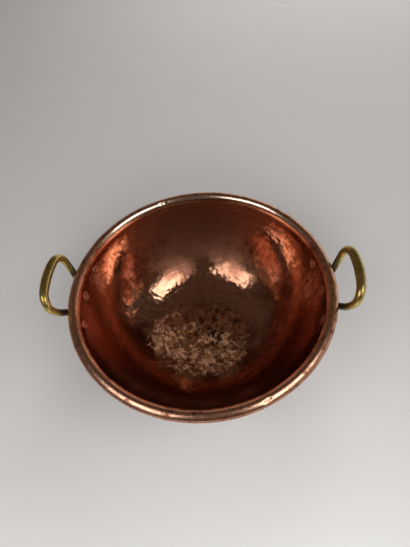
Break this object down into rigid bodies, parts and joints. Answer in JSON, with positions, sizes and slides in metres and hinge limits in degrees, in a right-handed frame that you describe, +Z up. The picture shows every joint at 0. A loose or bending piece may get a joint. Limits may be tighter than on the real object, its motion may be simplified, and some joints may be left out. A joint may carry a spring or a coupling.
{
  "type": "copper jam pan",
  "caption": "Wide round-bottomed copper preserving pan with a rolled wire rim and two raised cast brass loop handles riveted under the rim.",
  "frame": {"origin": "centre of the flat base's underside", "axes": "+Z up; +X from the bowl's centre to the right handle; the left handle is on -X; -Y is towards the camera"},
  "size_m": [0.4402, 0.3799, 0.1797],
  "materials": {
    "copper": "hammered and hand polished, with brown tarnish on the bottom",
    "rivet_copper": "polished heads",
    "cast_brass": "as cast, aged, with a dark green tarnish at the feet",
    "iron": "plain drawn wire, hidden"
  },
  "bodies": {
    "root": {"bowl": "copper", "rim_rod": "iron", "handle_left": "cast_brass", "handle_right": "cast_brass", "rivet_left_rear": "rivet_copper", "rivet_left_middle": "rivet_copper", "rivet_left_front": "rivet_copper", "rivet_right_rear": "rivet_copper", "rivet_right_middle": "rivet_copper", "rivet_right_front": "rivet_copper"}
  },
  "joints": []
}
